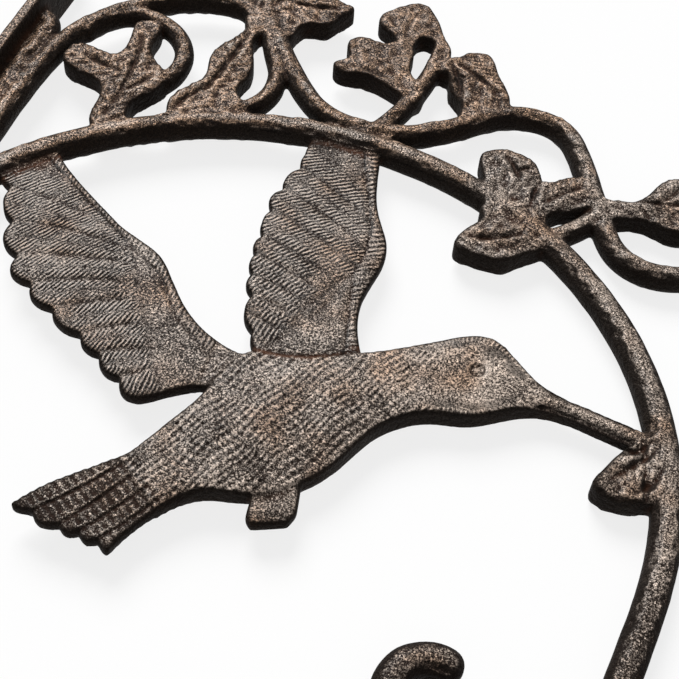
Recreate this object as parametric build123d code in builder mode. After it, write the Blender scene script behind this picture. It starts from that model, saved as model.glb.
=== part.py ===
from build123d import *

import os
from itertools import pairwise
from math import cos, radians, sin, sqrt

# Cast-iron plant hanger bracket: a ring arm with a hook, carrying a vine and a hummingbird. Millimetres.
# +Z is up on the wall, the plate's wall face lies in X = 0 and the arm reaches out along +X.
# The casting is flat, with its parting plane in Y = 0 and the same relief on both faces.
# The origin is on the wall face, midway between the two screw holes.

# Wall plate

PLATE_LENGTH = 255
PLATE_WIDTH = 17
PLATE_THICKNESS = 4
PLATE_EDGE_FILLET = 1
SCREW_SPACING = 231
SCREW_HOLE_DIAMETER = 5
SCREW_HEAD_DIAMETER = 9
RAIL_LENGTH = 190
RAIL_WIDTH = 8
RAIL_BEND = 6

# Arm and hook

ARM_RADIUS = 115
ARM_WIDTH = 8.2
ARM_THICKNESS = 8.4
ARM_DROP = 42.5
ARM_SEAT = 3
ARM_FOOT_ANGLE = 192
HOOK_START_ANGLE = -9
HOOK_SHANK = 40
HOOK_RADIUS = 23.5
HOOK_TIP_RADIUS = 9
HOOK_TIP_TURN = 105

# Vine, leaves and bird

VINE_WIDTH = 7
VINE_THICKNESS = 7.8
TENDRIL_WIDTH = 6.2
TENDRIL_THICKNESS = 7.2
CREST_RISE = 2.4
LEAF_THICKNESS = 7
VEIN_WIDTH = 1.4
VEIN_DEPTH = 0.7
WING_THICKNESS = 3.6
FEATHER_CUT_WIDTH = 1.1
FEATHER_CUT_DEPTH = 0.5

# The bird's body is domed: thickest along its middle, lower at its edges and where the tail leaves it
BODY_THICKNESS = 7
BODY_EDGE_THICKNESS = 5
BODY_TAIL_THICKNESS = 3.2
EYE_RADIUS = 2.1
EYE_PUPIL_RADIUS = 1
EYE_DEPTH = 0.6

# Edges of the feathers: rise of each arc over its chord
FEATHER_RISE = 0.12

# The ornament is drawn on a grid round the arm's centre, in hundredths of the arm's radius.

GRID = ARM_RADIUS / 100
ARM_CENTRE_X = PLATE_THICKNESS - ARM_SEAT + ARM_RADIUS
SIDE = Plane(origin=(0, 0, 0), x_dir=(1, 0, 0), z_dir=(0, -1, 0))
FACE = Plane(origin=(ARM_CENTRE_X, 0, -ARM_DROP), x_dir=(1, 0, 0), z_dir=(0, -1, 0))

# Routes of the vine's bars: grid point and heading in degrees at each station

VINE_ROUTE = [
    (-88.8, 46, 92),
    (-89, 100, 86),
    (-82, 123.5, 56),
    (-50, 145, 3),
    (-27.5, 129, -57),
    (3, 105, 0),
    (17.5, 108.5, 29),
    (46.5, 126.3, 3),
    (66.5, 103.5, -69),
    (86.5, 79, 0),
    (104, 95, 90),
    (97, 105, 160),
]
INNER_SCROLL_ROUTE = [
    (-84, 117, 75),
    (-70.5, 130, 0),
    (-52.5, 113, -88),
    (-58, 101, -145),
]
ARCH_CURL_ROUTE = [
    (-34, 136, -66),
    (-25, 113, -88),
    (-30, 101.5, -140),
    (-42, 90, -110),
]
STEM_ROUTE = [
    (5, 103, 62),
    (12, 120, 76),
    (15.3, 142, 88),
]
LINK_ROUTE = [
    (56, 80, 30),
    (69, 93, 58),
]
BARS = [
    (VINE_ROUTE, VINE_WIDTH, VINE_THICKNESS),
    (INNER_SCROLL_ROUTE, TENDRIL_WIDTH, TENDRIL_THICKNESS),
    (ARCH_CURL_ROUTE, TENDRIL_WIDTH, TENDRIL_THICKNESS),
    (STEM_ROUTE, TENDRIL_WIDTH, TENDRIL_THICKNESS),
    (LINK_ROUTE, TENDRIL_WIDTH, TENDRIL_THICKNESS),
]

# Outlines of the leaves, by grid points

SCROLL_LEAF = [
    (-84, 107), (-82, 101), (-77, 99), (-70.5, 97), (-67.5, 90), (-65, 80), (-58, 80), (-58.5, 91),
    (-55, 98), (-53.5, 105), (-56.5, 108.5), (-62.5, 117), (-64, 126), (-69.5, 126), (-69.5, 117),
    (-71, 109.5), (-78.5, 110.5),
]
ARCH_LEAF = [
    (-42, 137), (-41, 130.5), (-44.5, 124), (-45.5, 117), (-44, 108.5), (-49, 100), (-47, 90),
    (-34, 92), (-29, 100), (-33.5, 107), (-32.5, 114), (-35, 124.5), (-36.3, 130), (-35, 137), (-38.5, 141),
]
CREST_LEAF = [
    (-45, 144), (-43.5, 151), (-36, 155), (-34, 161), (-27, 164.5), (-22, 157.5), (-13.5, 153.5),
    (-16, 148), (-19, 143), (-25, 141), (-27, 134), (-36, 138),
]
STEM_LEAF_LOWER = [
    (13, 119), (6, 122.5), (-4, 125.3), (-10, 124.9), (-12.3, 127.7), (-8.7, 131.6), (-11, 137.5),
    (-7, 142), (-1, 141), (4, 145), (8, 141), (8.8, 134), (12, 128), (15.5, 122.5),
]
STEM_LEAF_UPPER = [
    (2, 140.5), (0.3, 146), (-5, 150), (-5.5, 153), (-2, 158.5), (4.5, 163.3), (10, 159), (15, 150),
    (18.5, 142), (16, 137.5), (13, 141), (12.5, 147), (9.5, 148), (7.5, 144), (6, 139.5),
]
SIDE_LEAF = [
    (13, 136), (14, 140.5), (19, 141.5), (23, 145.5), (28.3, 147), (33, 140), (39, 128.5), (38, 122.5),
    (32, 117.5), (27.5, 116.5), (26.5, 122), (21.5, 128.5), (19, 134.5),
]
END_LEAF = [
    (68, 95.5), (70, 99), (78, 101.5), (82, 107.5), (84.5, 112), (89.5, 114.5), (94, 110.5), (101, 106),
    (102.5, 100.5), (97, 96), (89, 93.7), (80, 95.3), (71.5, 93),
]
ARM_LEAF_UPPER = [
    (40.5, 86), (38.5, 97), (36.3, 106), (43.5, 109.3), (49.5, 107.5), (53.3, 101.5), (53.3, 80),
]
ARM_LEAF_SIDE = [
    (52, 86), (52.6, 100), (56, 101.2), (61, 105), (67, 104), (67, 95), (60.5, 91), (57, 87.5),
]
ARM_LEAF_LOWER = [
    (43, 88), (41, 80.5), (37.5, 74.5), (37, 70.3), (43.5, 68.7), (50, 69), (54.5, 73), (60, 81),
]
BEAK_LEAF = [
    (94, 28), (89, 24), (86.5, 20.5), (84, 15.5), (82.5, 10.5), (85.5, 8.5), (92, 9), (98, 11.5),
    (101, 18),
]
LEAVES = [
    SCROLL_LEAF,
    ARCH_LEAF,
    CREST_LEAF,
    STEM_LEAF_LOWER,
    STEM_LEAF_UPPER,
    SIDE_LEAF,
    END_LEAF,
    ARM_LEAF_UPPER,
    ARM_LEAF_SIDE,
    ARM_LEAF_LOWER,
    BEAK_LEAF,
]

# Outlines of the hummingbird, by grid points

RIGHT_WING_FRONT = [
    (10, 101), (12.3, 88), (16.3, 75), (21.5, 64), (21.3, 55), (20.3, 46), (22.3, 35.5), (27, 26),
]
RIGHT_WING_ROOT = (2, 18)
RIGHT_WING_FEATHERS = [
    (1, 22.5), (-1.5, 28), (-5.5, 34), (-5, 38.5), (-8, 42), (-7.3, 45), (-9.5, 49), (-8.8, 51.5),
    (-10.5, 55), (-9.2, 58), (-11, 62.5), (-10, 67.5), (-12, 71.5), (-9.5, 75.5), (-10.5, 79.5),
    (-7.8, 84.5), (-8.5, 90), (-6.5, 99),
]
LEFT_WING_FRONT = [
    (-70, 69.5), (-64, 63.5), (-51.5, 54.5), (-43, 49), (-37.5, 46.5), (-30.5, 43), (-25, 37), (-19, 30),
    (-12, 24.5), (3, 20.5),
]
LEFT_WING_ROOT = [(0, 8), (-9, 7.7), (-13, 5), (-18.5, 1)]
LEFT_WING_FEATHERS = [
    (-18.5, 1), (-23, 1.2), (-25, 5), (-30, 6), (-32, 10), (-37, 11), (-38.5, 14), (-46.5, 16),
    (-47.7, 19), (-54.5, 20.5), (-56, 24.5), (-62.5, 26), (-63, 31.5), (-69, 35.5), (-69, 41.5),
    (-74, 46), (-75, 52), (-81, 58),
]
BODY_BACK = [
    (-17.5, -17), (-13.5, -10.5), (-10.5, -4.5), (-6.5, 4), (-4, 13), (0, 21.5), (12, 24.5), (25, 29.5),
    (34.5, 34.8), (43, 40.2), (52, 43.8), (60, 39), (66, 34.6), (80, 31.3), (95, 27.2),
]
BODY_BREAST = [
    (94, 24.2), (80, 26.3), (68, 27.3), (61, 24.6), (54, 20.2), (44, 17.8), (35, 11), (30.5, 3),
    (27, -4), (21, -10.5), (12, -15.8), (3, -18), (-1, -21), (-4, -25.5),
]
FEET = [(22.5, -8), (24, -16), (23, -19), (15.5, -22), (14, -20.5), (13.5, -16), (12, -10)]
TAIL_FRONT = [(6, -16), (-3.5, -24.5), (-8, -32), (-10, -37.5)]
TAIL_FEATHERS = [
    (-10, -37.5), (-13, -35), (-15, -36.5), (-17.5, -34.5), (-19.7, -36), (-22, -34.3), (-26, -35.5),
    (-28.5, -33), (-33.5, -33.3),
]
TAIL_BACK = [(-33.5, -33.3), (-26.5, -24), (-18, -16), (-9, -6)]
BODY_MIDDLE = (10, 2)
BODY_HEADING = 37.5
BODY_HALF_WIDTH = 19 * GRID
BODY_SLOPE = 30 * GRID
TAIL_DISTANCE = 35 * GRID
BODY_REACH = 100 * GRID
EYE = (51.7, 32.8)

# Carving: each cut is a slim gouge between two grid points, given with the bow of its middle in grid units

FEATHER_CUTS = [
    ((-26.2, 4.1), (-18.4, 9.8), 0.3),
    ((-33.4, 9.4), (-21.7, 14.9), 0.4),
    ((-39.8, 13.2), (-25.7, 21.7), 0.5),
    ((-49, 18.3), (-29.9, 28.2), 0.7),
    ((-57.4, 24), (-32.3, 33), 0.9),
    ((-64.5, 31.2), (-34.6, 37.9), 1.2),
    ((-70.5, 41.5), (-37, 42), 1.6),
    ((-76.5, 52.3), (-44, 46.7), 1.6),
    ((-66, 62), (-37.3, 42.6), -0.3),
    ((-36, 41.5), (-20, 25.5), 1.4),
    ((-4, 33), (7, 30.2), -0.3),
    ((-6.4, 38.9), (7.4, 34.8), 0.4),
    ((-8.7, 45.4), (8.7, 40), 0.5),
    ((-10.2, 52), (10.8, 45), 0.6),
    ((-10.6, 58.6), (13, 49.2), 0.7),
    ((-11.4, 68.1), (15, 56), 0.9),
    ((-10.8, 76.2), (15.5, 63), 1),
    ((-9.1, 85.3), (14, 72), 1),
    ((7.7, 31), (14.6, 51.5), -1.5),
    ((20.5, 32), (15.9, 53), 0.4),
    ((16, 54.5), (15.7, 69), -1.1),
    ((15.1, 70.5), (7.5, 91), -0.4),
    ((-29.4, -34.2), (-15.7, -16.7), -0.4),
    ((-22.8, -35.6), (-13.2, -19.7), -0.3),
    ((-18.3, -35.8), (-9, -21), -0.3),
    ((-13.8, -36.3), (-3.7, -20.2), -0.3),
]
LEAF_VEINS = [
    ((-63.5, 83), (-66.5, 119), -1.8),
    ((-66, 102.5), (-80, 107), 0.6),
    ((-63.5, 95), (-57, 104), -0.5),
    ((-43, 97), (-38.9, 131), -0.8),
    ((-46.8, 94), (-41.5, 104), 0.9),
    ((-36, 146), (-27, 161), 0.9),
    ((-33, 150), (-18, 151.5), -0.7),
    ((11.5, 126), (-8, 138), 0.8),
    ((9, 125.5), (-10, 128), -0.6),
    ((4.5, 142), (5, 160), 0.9),
    ((1.5, 148), (-3, 155), 0.4),
    ((20, 138), (25.5, 125), 0.8),
    ((22, 139), (35, 130), 0.7),
    ((76, 100.5), (98, 104.5), 0.7),
    ((85, 103.5), (89.5, 112), -0.4),
    ((43.8, 105.5), (48, 98), 0.4),
    ((46.3, 101.5), (50.5, 104.5), 0.3),
    ((53.6, 101), (52.5, 90), -0.5),
    ((55.5, 92.5), (64, 101.5), 0.4),
    ((40, 74), (52.5, 79.5), -0.9),
    ((95, 25), (85, 12.5), 0.6),
    ((97, 19), (91.5, 11), 0.4),
    ((93, 26), (88, 20.5), 0.3),
]


def on_grid(*points):
    """Points of the drawing as millimetres from the arm's centre."""
    return [(x * GRID, z * GRID) for x, z in points]


def heading(degrees):
    """Direction in the casting's plane, counted from +X towards +Z."""
    return Vector(cos(radians(degrees)), 0, sin(radians(degrees)))


def joint_of_arcs(start, leave, end, arrive):
    """Point where two arcs meet that leave start and arrive at end along the given headings."""
    first = heading(leave)
    last = heading(arrive)
    span = Vector(end[0] - start[0], 0, end[1] - start[1])
    along = span.dot(first + last)
    spread = 2 * (1 - first.dot(last))
    reach = (sqrt(along**2 + spread * span.dot(span)) - along) / spread
    middle = (span + (first - last) * reach) / 2
    return (start[0] + middle.X, start[1] + middle.Z)


def scroll_line(route):
    """Centreline of tangent arcs through the stations of a route."""
    for (x0, z0, leave), (x1, z1, arrive) in pairwise(route):
        start, end = on_grid((x0, z0), (x1, z1))
        joint = joint_of_arcs(start, leave, end, arrive)
        first = TangentArc(start, joint, tangent=heading(leave))
        TangentArc(joint, end, tangent=first % 1)


def bar_section(width, thickness):
    """Section of a round-crested bar, with its thickness along the sketch's x."""
    shoulder = thickness / 2 - CREST_RISE
    side = width / 2
    with BuildLine() as outline:
        ThreePointArc((shoulder, -side), (thickness / 2, 0), (shoulder, side))
        Line((shoulder, side), (-shoulder, side))
        ThreePointArc((-shoulder, side), (-thickness / 2, 0), (-shoulder, -side))
        Line((-shoulder, -side), (shoulder, -side))
    make_face(outline.edges())


def across(path, position):
    """Plane square to a path, with its x along the casting's thickness."""
    return Plane(origin=path @ position, x_dir=(0, 1, 0), z_dir=path % position)


def feather_edge(points):
    """Row of low arcs from grid point to grid point, the tips of the feathers and the notches in turn."""
    for start, end in pairwise(on_grid(*points)):
        chord = sqrt((end[0] - start[0]) ** 2 + (end[1] - start[1]) ** 2)
        SagittaArc(start, end, chord * FEATHER_RISE)


def gouge(start, end, bow, width):
    """Outline of a cut that is widest at its middle and runs out to a point at both ends."""
    (x0, z0), (x1, z1) = on_grid(start, end)
    length = sqrt((x1 - x0) ** 2 + (z1 - z0) ** 2)
    side = Vector(z0 - z1, x1 - x0) / length
    middle = Vector(x0 + x1, z0 + z1) / 2 + side * (bow * GRID)
    with BuildLine() as outline:
        ThreePointArc((x0, z0), middle + side * (width / 2), (x1, z1))
        ThreePointArc((x1, z1), middle - side * (width / 2), (x0, z0))
    make_face(outline.edges())


def carve(cuts, width, thickness, depth):
    """Sinks the same cuts into both faces of a flat form of the given thickness."""
    for level in (thickness / 2, -thickness / 2):
        with BuildSketch(FACE.offset(level)) as drawing:
            for start, end, bow in cuts:
                gouge(start, end, bow, width)
        extrude(drawing.sketch, amount=-depth if level > 0 else depth, mode=Mode.SUBTRACT)


# The hummingbird's wings, tail and feet
with BuildPart() as feathers:
    with BuildSketch(FACE):
        with BuildLine():
            Spline(*on_grid(*RIGHT_WING_FRONT))
            Polyline(*on_grid(RIGHT_WING_FRONT[-1], RIGHT_WING_ROOT, RIGHT_WING_FEATHERS[0]))
            feather_edge(RIGHT_WING_FEATHERS)
            Line(*on_grid(RIGHT_WING_FEATHERS[-1], RIGHT_WING_FRONT[0]))
        make_face()
        with BuildLine():
            Spline(*on_grid(*LEFT_WING_FRONT))
            Line(*on_grid(LEFT_WING_FRONT[-1], LEFT_WING_ROOT[0]))
            Spline(*on_grid(*LEFT_WING_ROOT))
            feather_edge(LEFT_WING_FEATHERS)
            Line(*on_grid(LEFT_WING_FEATHERS[-1], LEFT_WING_FRONT[0]))
        make_face()
        with BuildLine():
            Spline(*on_grid(*TAIL_FRONT))
            feather_edge(TAIL_FEATHERS)
            Spline(*on_grid(*TAIL_BACK))
            Line(*on_grid(TAIL_BACK[-1], TAIL_FRONT[0]))
        make_face()
        with BuildLine():
            Polyline(*on_grid(*FEET), close=True)
        make_face()
    extrude(amount=WING_THICKNESS / 2, both=True)
    carve(FEATHER_CUTS, FEATHER_CUT_WIDTH, WING_THICKNESS, FEATHER_CUT_DEPTH)

# Its domed body, which stands proud of the wings, with a ring cut round each eye
with BuildPart() as body:
    with BuildSketch(FACE):
        with BuildLine():
            Spline(*on_grid(*BODY_BACK))
            Line(*on_grid(BODY_BACK[-1], BODY_BREAST[0]))
            Spline(*on_grid(*BODY_BREAST))
            Line(*on_grid(BODY_BREAST[-1], BODY_BACK[0]))
        make_face()
    extrude(amount=BODY_THICKNESS / 2, both=True)
    crown = BODY_THICKNESS / 2
    edge = BODY_EDGE_THICKNESS / 2
    middle = FACE.from_local_coords(Vector(*on_grid(BODY_MIDDLE)[0]))
    with BuildSketch(Plane(origin=middle, x_dir=(0, 1, 0), z_dir=heading(BODY_HEADING))):
        with BuildLine():
            dome = ThreePointArc((edge, -BODY_HALF_WIDTH), (crown, 0), (edge, BODY_HALF_WIDTH))
            Polyline(dome @ 1, (edge, BODY_REACH), (0, BODY_REACH))
            Line((0, BODY_REACH), (0, -BODY_REACH))
            Polyline((0, -BODY_REACH), (edge, -BODY_REACH), dome @ 0)
        make_face()
        mirror(about=Plane.YZ)
    extrude(amount=BODY_REACH, both=True, mode=Mode.INTERSECT)
    with BuildSketch(Plane(origin=middle, x_dir=(0, 1, 0), z_dir=heading(BODY_HEADING + 90))):
        with BuildLine():
            top = (crown, TAIL_DISTANCE - BODY_SLOPE)
            fall = TangentArc(top, (BODY_TAIL_THICKNESS / 2, TAIL_DISTANCE), tangent=(0, 1))
            Polyline(fall @ 1, (0, TAIL_DISTANCE), (0, -BODY_REACH), (crown, -BODY_REACH), fall @ 0)
        make_face()
        mirror(about=Plane.YZ)
    extrude(amount=BODY_REACH, both=True, mode=Mode.INTERSECT)
    for level in (crown, -crown):
        with BuildSketch(FACE.offset(level)):
            with Locations(*on_grid(EYE)):
                Circle(EYE_RADIUS)
                Circle(EYE_PUPIL_RADIUS, mode=Mode.SUBTRACT)
        extrude(amount=-EYE_DEPTH if level > 0 else EYE_DEPTH, mode=Mode.SUBTRACT)

# The leaves, with their veins
with BuildPart() as leaves:
    for points in LEAVES:
        with BuildSketch(FACE):
            with BuildLine():
                Spline(*on_grid(*points), periodic=True)
            make_face()
        extrude(amount=LEAF_THICKNESS / 2, both=True)
    carve(LEAF_VEINS, VEIN_WIDTH, LEAF_THICKNESS, VEIN_DEPTH)

with BuildPart() as bracket:

    # Wall plate with rounded ends
    with BuildSketch(Plane.YZ):
        SlotOverall(PLATE_LENGTH, PLATE_WIDTH, rotation=90)
    extrude(amount=PLATE_THICKNESS)
    fillet(bracket.faces().sort_by(Axis.X)[-1].edges(), PLATE_EDGE_FILLET)

    # Rail that stiffens the plate: a bar that turns back into it at both ends
    with BuildLine(SIDE) as rail_line:
        rail_start = (PLATE_THICKNESS + RAIL_WIDTH / 2 - RAIL_BEND, -RAIL_LENGTH / 2)
        lower_bend = JernArc(rail_start, heading(0), RAIL_BEND, 90)
        run = Line(lower_bend @ 1, lower_bend @ 1 + heading(90) * (RAIL_LENGTH - 2 * RAIL_BEND))
        JernArc(run @ 1, heading(90), RAIL_BEND, 90)
    with BuildSketch(across(lower_bend, 0)):
        bar_section(RAIL_WIDTH, TENDRIL_THICKNESS)
    sweep()

    # Ring arm, its hook and the rounded nose of the hook's tip
    with BuildLine(FACE) as arm_line:
        foot = heading(ARM_FOOT_ANGLE) * ARM_RADIUS
        ring = JernArc(
            (foot.X, foot.Z), heading(ARM_FOOT_ANGLE - 90), ARM_RADIUS, HOOK_START_ANGLE - ARM_FOOT_ANGLE
        )
        shank = Line(ring @ 1, ring @ 1 + (ring % 1) * HOOK_SHANK)
        bowl = JernArc(shank @ 1, shank % 1, HOOK_RADIUS, -180 - HOOK_START_ANGLE)
        tip = JernArc(bowl @ 1, bowl % 1, HOOK_TIP_RADIUS, -HOOK_TIP_TURN)
    with BuildSketch(across(ring, 0)):
        bar_section(ARM_WIDTH, ARM_THICKNESS)
    sweep()
    with BuildSketch(across(tip, 1)):
        bar_section(ARM_WIDTH, ARM_THICKNESS)
        split(bisect_by=Plane.XZ)
    revolve(axis=Axis(tip @ 1, (0, 1, 0)))

    # Vine and its tendrils
    for route, width, thickness in BARS:
        with BuildLine(FACE) as bar_line:
            scroll_line(route)
        with BuildSketch(across(bar_line.wires()[0], 0)):
            bar_section(width, thickness)
        sweep()

    # Leaves and bird
    for form in (leaves, feathers, body):
        add(form.part)

    # Flat wall face, and the countersunk screw holes through the plate
    split(bisect_by=Plane.YZ)
    with Locations(Plane.YZ.offset(PLATE_THICKNESS)):
        with GridLocations(0, SCREW_SPACING, 1, 2):
            CounterSinkHole(SCREW_HOLE_DIAMETER / 2, SCREW_HEAD_DIAMETER / 2, depth=PLATE_THICKNESS)

bracket.part.label = "bracket"
os.makedirs("parts", exist_ok=True)
export_step(bracket.part, "parts/bracket.step")
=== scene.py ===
"""A cast plant hanger bracket with a hummingbird, lying on a pale table under soft light."""
import logging
import math
from dataclasses import dataclass, field
from enum import Enum
from typing import Any, Mapping, Optional, Sequence, Union

import bpy
import numpy as np
from mathutils import Matrix, Vector, noise


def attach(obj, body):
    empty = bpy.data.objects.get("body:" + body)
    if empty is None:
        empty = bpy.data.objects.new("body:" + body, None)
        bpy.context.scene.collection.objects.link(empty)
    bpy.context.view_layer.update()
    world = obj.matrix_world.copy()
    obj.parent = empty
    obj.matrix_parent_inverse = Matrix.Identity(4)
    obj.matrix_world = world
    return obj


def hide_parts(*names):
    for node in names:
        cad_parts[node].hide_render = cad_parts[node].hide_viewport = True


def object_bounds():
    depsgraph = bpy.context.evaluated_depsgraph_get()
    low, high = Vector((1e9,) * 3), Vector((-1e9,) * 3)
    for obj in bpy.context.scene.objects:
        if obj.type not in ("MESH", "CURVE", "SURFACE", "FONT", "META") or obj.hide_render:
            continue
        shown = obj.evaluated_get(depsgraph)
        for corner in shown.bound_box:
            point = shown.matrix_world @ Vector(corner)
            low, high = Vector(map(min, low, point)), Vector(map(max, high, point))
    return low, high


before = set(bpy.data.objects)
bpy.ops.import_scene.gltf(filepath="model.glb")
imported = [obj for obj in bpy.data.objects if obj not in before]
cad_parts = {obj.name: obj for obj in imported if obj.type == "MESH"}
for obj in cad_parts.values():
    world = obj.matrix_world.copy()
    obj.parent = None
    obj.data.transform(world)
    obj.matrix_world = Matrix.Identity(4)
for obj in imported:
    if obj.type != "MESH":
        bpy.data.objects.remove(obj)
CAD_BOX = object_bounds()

logging.basicConfig(level=logging.INFO, format="%(message)s")
LOG = logging.getLogger("bracket")

MM = 0.001
NODE = "bracket"
BODY = "root"
FULL_TURN = 2.0 * math.pi
WHITE = (1.0, 1.0, 1.0, 1.0)
PICTURE_PIXELS = 679
SENSOR_WIDTH = 36.0
RGB = tuple[float, float, float]
Point = tuple[float, float]
Line = tuple[Point, Point, float]

# The ornament's drawing grid: hundredths of the arm's radius, counted from the arm's centre
GRID = 1.15
ARM_CENTRE = (116.0, -42.5)


class Maths(Enum):
    """The Math operations that the finishes use."""

    ADD = "ADD"
    SUBTRACT = "SUBTRACT"
    MULTIPLY = "MULTIPLY"
    POWER = "POWER"
    ABSOLUTE = "ABSOLUTE"
    COSINE = "COSINE"


@dataclass(frozen=True)
class Value:
    """A socket that takes part in shader maths.

    Args:
        shader: the node tree's builder.
        socket: the output socket that gives the value.
    """

    shader: "Shader"
    socket: bpy.types.NodeSocket

    def __add__(self, other: "Number") -> "Value":
        """The sum."""
        return self.shader.maths(Maths.ADD, self, other)

    def __radd__(self, other: float) -> "Value":
        """The sum, with the number first."""
        return self.shader.maths(Maths.ADD, other, self)

    def __sub__(self, other: "Number") -> "Value":
        """The difference."""
        return self.shader.maths(Maths.SUBTRACT, self, other)

    def __rsub__(self, other: float) -> "Value":
        """The difference, with the number first."""
        return self.shader.maths(Maths.SUBTRACT, other, self)

    def __mul__(self, other: "Number") -> "Value":
        """The product."""
        return self.shader.maths(Maths.MULTIPLY, self, other)

    def __rmul__(self, other: float) -> "Value":
        """The product, with the number first."""
        return self.shader.maths(Maths.MULTIPLY, other, self)

    def __pow__(self, other: "Number") -> "Value":
        """The power."""
        return self.shader.maths(Maths.POWER, self, other)

    def __abs__(self) -> "Value":
        """The size without its sign."""
        return self.shader.maths(Maths.ABSOLUTE, self)


Number = Union[Value, float]
Fed = Union[Value, float, Sequence[float]]


class Shader:
    """Adds nodes to one tree."""

    def __init__(self, tree: bpy.types.NodeTree) -> None:
        """Empties the tree.

        Args:
            tree: the material's or the world's node tree.
        """
        self.tree = tree
        self.tree.nodes.clear()

    def node(
        self,
        kind: str,
        settings: Optional[Mapping[str, Any]] = None,
        sockets: Optional[Mapping[Union[str, int], Fed]] = None,
    ) -> bpy.types.Node:
        """Adds one node.

        Args:
            kind: the node's type.
            settings: its settings, which are set first.
            sockets: the values or links of its input sockets.
        Returns:
            the new node.
        """
        made = self.tree.nodes.new(kind)
        for name, setting in (settings or {}).items():
            setattr(made, name, setting)
        for name, fed in (sockets or {}).items():
            if isinstance(fed, Value):
                self.tree.links.new(fed.socket, made.inputs[name])
            else:
                made.inputs[name].default_value = fed
        return made

    def out(self, made: bpy.types.Node, socket: Union[str, int] = 0) -> Value:
        """One output of a node, ready for maths."""
        return Value(self, made.outputs[socket])

    def maths(self, operation: Maths, *values: Number) -> Value:
        """Adds a Math node.

        Args:
            operation: what it works out.
            values: its inputs in order.
        Returns:
            the result.
        """
        made = self.node("ShaderNodeMath", {"operation": operation.value}, dict(enumerate(values)))
        return self.out(made)

    def mix(self, factor: Number, first: Fed, second: Fed) -> Value:
        """Mixes two colours.

        Args:
            factor: 0 for the first, 1 for the second.
            first: a colour.
            second: a colour.
        Returns:
            the mixed colour.
        """
        made = self.node("ShaderNodeMix", {"data_type": "RGBA"}, {0: factor, 6: first, 7: second})
        return self.out(made, 2)

    def ramp(self, value: Value, low: float, high: float) -> Value:
        """Rises smoothly from 0 where value is low to 1 where it is high."""
        sockets = {"Value": value, "From Min": low, "From Max": high}
        return self.out(self.node("ShaderNodeMapRange", {"interpolation_type": "SMOOTHSTEP"}, sockets))

    def noise(self, place: Value, size: float, detail: float = 3.0, rough: float = 0.55) -> Value:
        """Adds a noise.

        Args:
            place: the coordinates.
            size: the width of its lumps in metres.
            detail: how many finer layers it has.
            rough: how strong those are.
        Returns:
            the noise, about 0 to 1.
        """
        sockets = {"Vector": place, "Scale": 1.0 / size, "Detail": detail, "Roughness": rough}
        return self.out(self.node("ShaderNodeTexNoise", None, sockets), "Fac")

    def seen(self) -> Value:
        """Is 1 for what the eye sees, also in gloss and through glass, and 0 for light on other things.

        Returns:
            the value.
        """
        path = self.node("ShaderNodeLightPath")
        eye = self.out(path, "Is Camera Ray") + self.out(path, "Is Glossy Ray")
        return eye + self.out(path, "Is Transmission Ray")

    def attribute(self, name: str) -> Value:
        """A value that the mesh carries at its points."""
        made = self.node("ShaderNodeAttribute", {"attribute_name": name})
        return self.out(made, "Fac")


def opaque(colour: RGB) -> tuple[float, float, float, float]:
    """A colour with full cover."""
    return (*colour, 1.0)


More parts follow.
